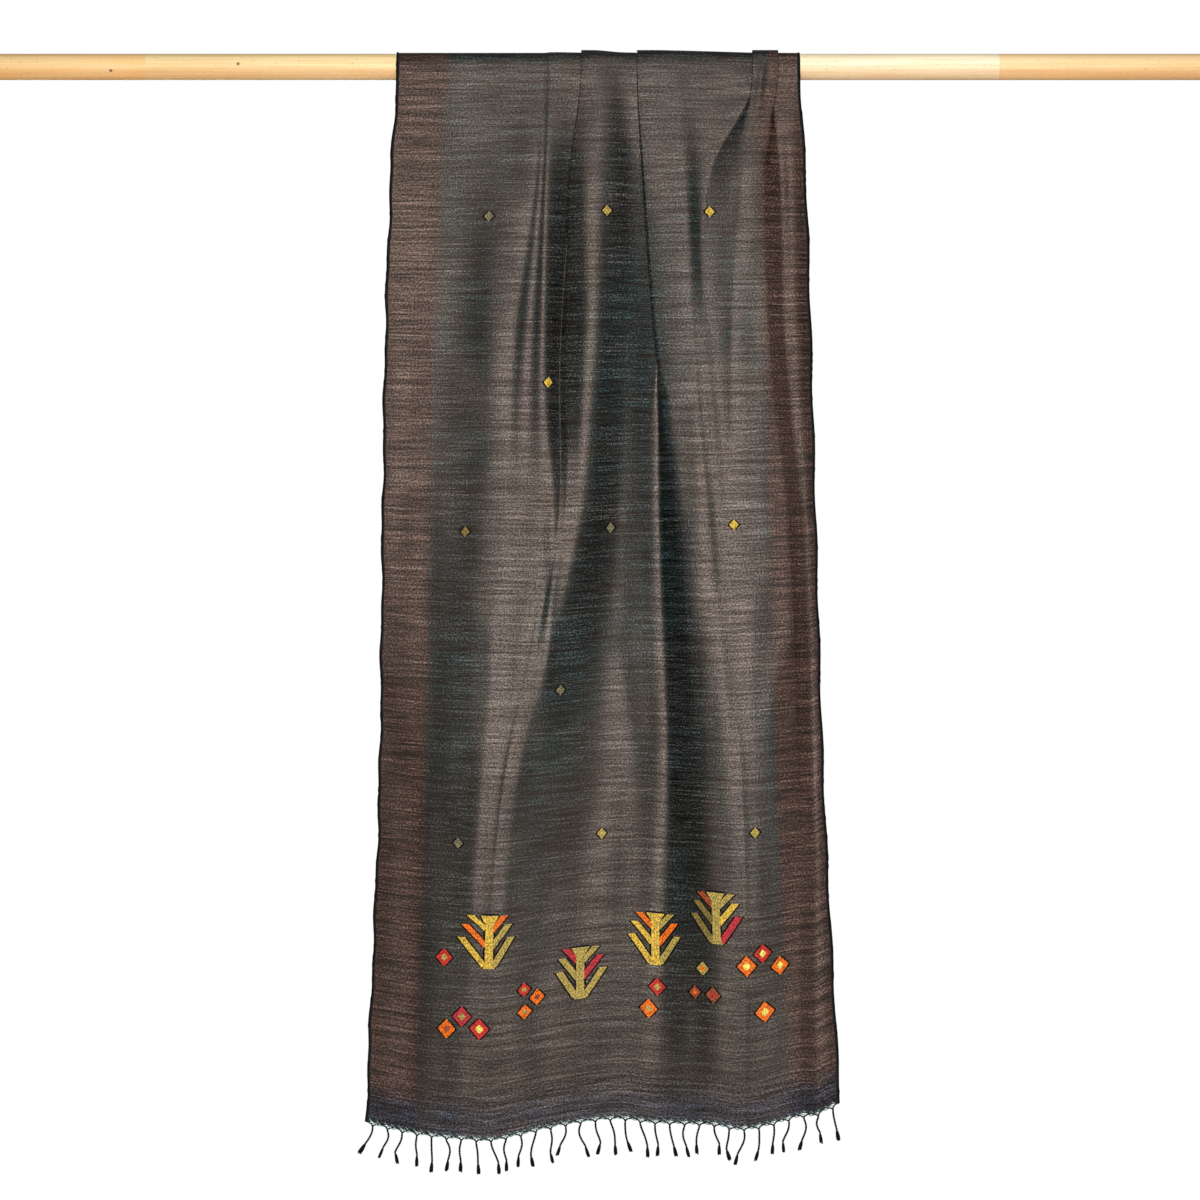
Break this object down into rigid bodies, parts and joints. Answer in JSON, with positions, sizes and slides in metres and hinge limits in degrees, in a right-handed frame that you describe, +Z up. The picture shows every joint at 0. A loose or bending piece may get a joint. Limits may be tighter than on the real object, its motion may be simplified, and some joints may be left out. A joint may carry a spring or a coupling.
{
  "type": "silk scarf draped over a wooden rod",
  "caption": "Fringed handwoven silk scarf folded once over a round wooden rod, pleated at the rod and opening into soft folds below.",
  "frame": {"origin": "on the rod's axis at the middle of its length, where the rod is held", "axes": "+X along the rod, to the right of someone who faces the scarf; +Z up; the scarf's front faces -Y"},
  "size_m": [1.4, 0.0763, 1.2183],
  "materials": {
    "rod_wood": "planed and sanded beech, finger-jointed lengths in slightly different tones",
    "silk_cloth": "plain-woven slubbed silk with a soft sheen, dark grey-brown shot with teal, reddish side borders",
    "fringe_yarn": "two-ply twisted silk yarn, knotted, near black with a teal cast"
  },
  "bodies": {
    "root": {"rod": "rod_wood", "scarf_front": "silk_cloth", "scarf_turn": "silk_cloth", "scarf_back": "silk_cloth", "fringe_front": "fringe_yarn", "fringe_back": "fringe_yarn"}
  },
  "joints": []
}
